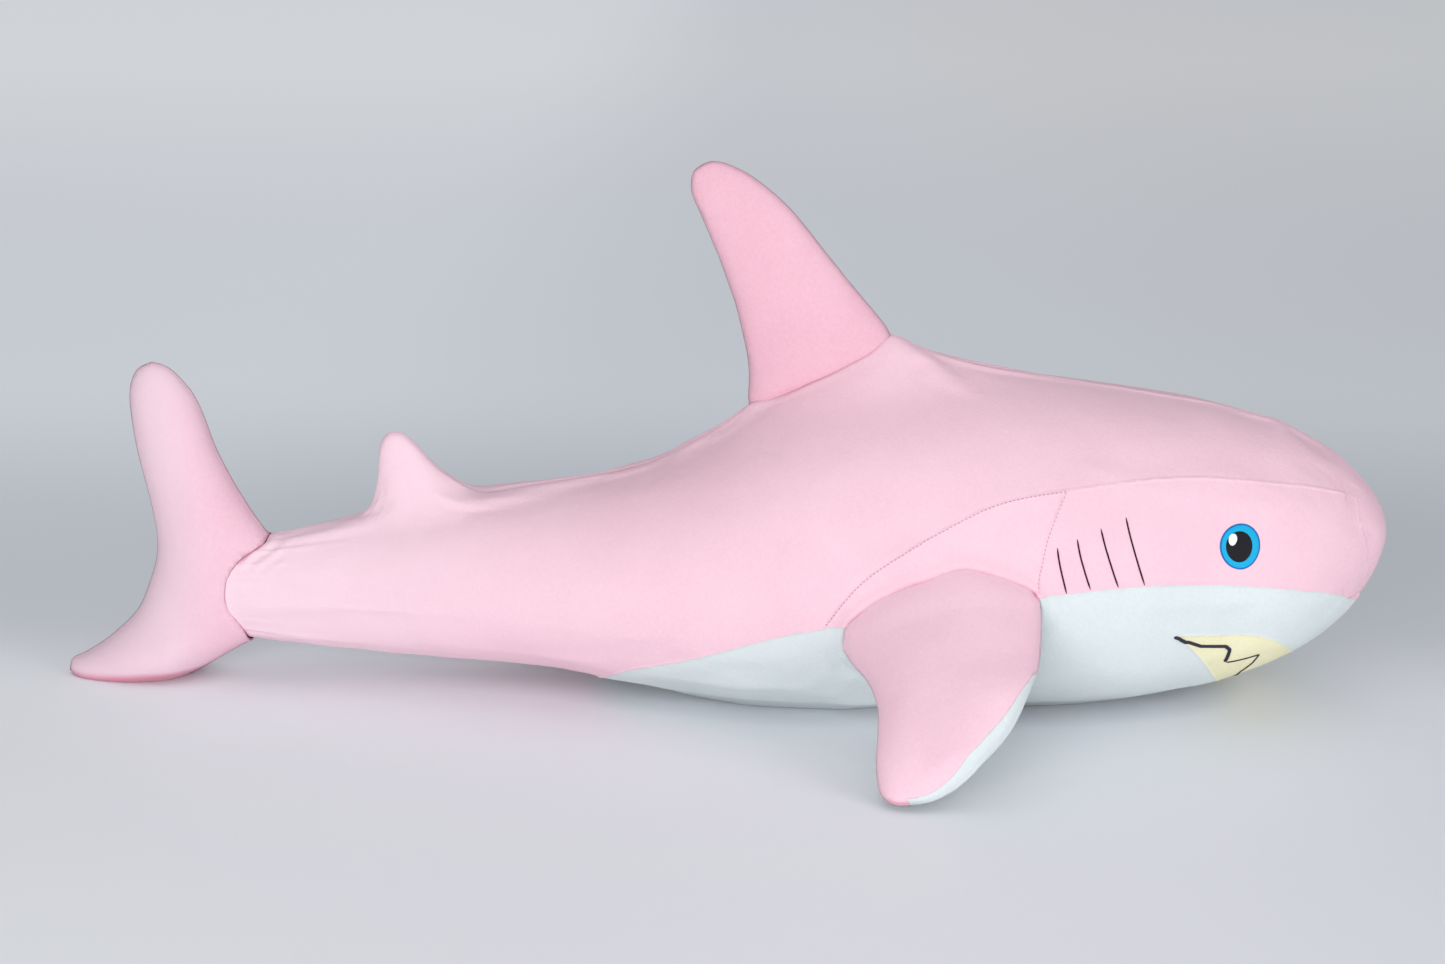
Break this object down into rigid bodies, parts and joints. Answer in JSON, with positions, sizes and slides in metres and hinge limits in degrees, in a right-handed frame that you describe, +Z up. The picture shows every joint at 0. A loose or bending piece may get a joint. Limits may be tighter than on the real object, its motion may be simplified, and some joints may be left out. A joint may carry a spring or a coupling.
{
  "type": "plush shark",
  "caption": "Stuffed toy shark with a long padded body, embroidered eyes, gills and mouth, and soft sewn-on dorsal, pectoral and tail fins that bend at their root seams.",
  "frame": {"origin": "on the floor under the toy, half way between nose tip and tail tip, on its centre plane", "axes": "+X towards the nose, +Y towards the shark's own left side, +Z up"},
  "size_m": [1.0146, 0.5044, 0.4006],
  "materials": {
    "pink_fabric": "matte short-pile knitted plush, pale pink",
    "white_fabric": "matte short-pile knitted plush, cool white",
    "cream_fabric": "matte short-pile knitted plush, pale cream yellow",
    "fibre_filling": "loose white polyester fibre",
    "slate_thread": "satin-stitched embroidery thread, dark slate",
    "plum_thread": "satin-stitched embroidery thread, dark plum",
    "blue_thread": "satin-stitched embroidery thread, bright blue",
    "black_thread": "satin-stitched embroidery thread, near black",
    "white_thread": "satin-stitched embroidery thread, off-white"
  },
  "bodies": {
    "body": {"body_filling": "fibre_filling", "belly_panel": "white_fabric", "mouth_panel": "cream_fabric", "mouth_stitching": "slate_thread", "back_panel_left": "pink_fabric", "head_side_panel_left": "pink_fabric", "shoulder_panel_left": "pink_fabric", "gill_stitch_left_1": "plum_thread", "gill_stitch_left_2": "plum_thread", "gill_stitch_left_3": "plum_thread", "gill_stitch_left_4": "plum_thread", "eye_iris_left": "blue_thread", "eye_pupil_left": "black_thread", "eye_highlight_left": "white_thread", "back_panel_right": "pink_fabric", "head_side_panel_right": "pink_fabric", "shoulder_panel_right": "pink_fabric", "gill_stitch_right_1": "plum_thread", "gill_stitch_right_2": "plum_thread", "gill_stitch_right_3": "plum_thread", "gill_stitch_right_4": "plum_thread", "eye_iris_right": "blue_thread", "eye_pupil_right": "black_thread", "eye_highlight_right": "white_thread"},
    "dorsal_fin": {"dorsal_fin_cover_right": "pink_fabric", "dorsal_fin_cover_left": "pink_fabric", "dorsal_fin_filling": "fibre_filling"},
    "tail_fin": {"tail_fin_cover_right": "pink_fabric", "tail_fin_cover_left": "pink_fabric", "tail_fin_filling": "fibre_filling"},
    "pectoral_fin_left": {"pectoral_fin_top_cover_left": "pink_fabric", "pectoral_fin_under_cover_left": "white_fabric", "pectoral_fin_filling_left": "fibre_filling"},
    "pectoral_fin_right": {"pectoral_fin_top_cover_right": "pink_fabric", "pectoral_fin_under_cover_right": "white_fabric", "pectoral_fin_filling_right": "fibre_filling"}
  },
  "joints": [
    {"name": "dorsal_fin_bend", "type": "hinge", "parent": "body", "child": "dorsal_fin", "pos_m": [0.0255, 0, 0.2147], "axis": [0.8875, 0, 0.4607], "range_deg": [-25, 25], "stiffness_Nm_per_rad": 0.9},
    {"name": "tail_fin_swing", "type": "hinge", "parent": "body", "child": "tail_fin", "pos_m": [-0.3695, 0, 0.08], "axis": [0, 0, 1], "range_deg": [-25, 25], "stiffness_Nm_per_rad": 0.9},
    {"name": "pectoral_fin_left_lift", "type": "hinge", "parent": "body", "child": "pectoral_fin_left", "pos_m": [0.1665, 0.1352, 0.112], "axis": [0.9781, 0, 0.2079], "range_deg": [-10, 35], "stiffness_Nm_per_rad": 0.9},
    {"name": "pectoral_fin_right_lift", "type": "hinge", "parent": "body", "child": "pectoral_fin_right", "pos_m": [0.1665, -0.1352, 0.112], "axis": [-0.9781, 0, -0.2079], "range_deg": [-10, 35], "stiffness_Nm_per_rad": 0.9}
  ]
}
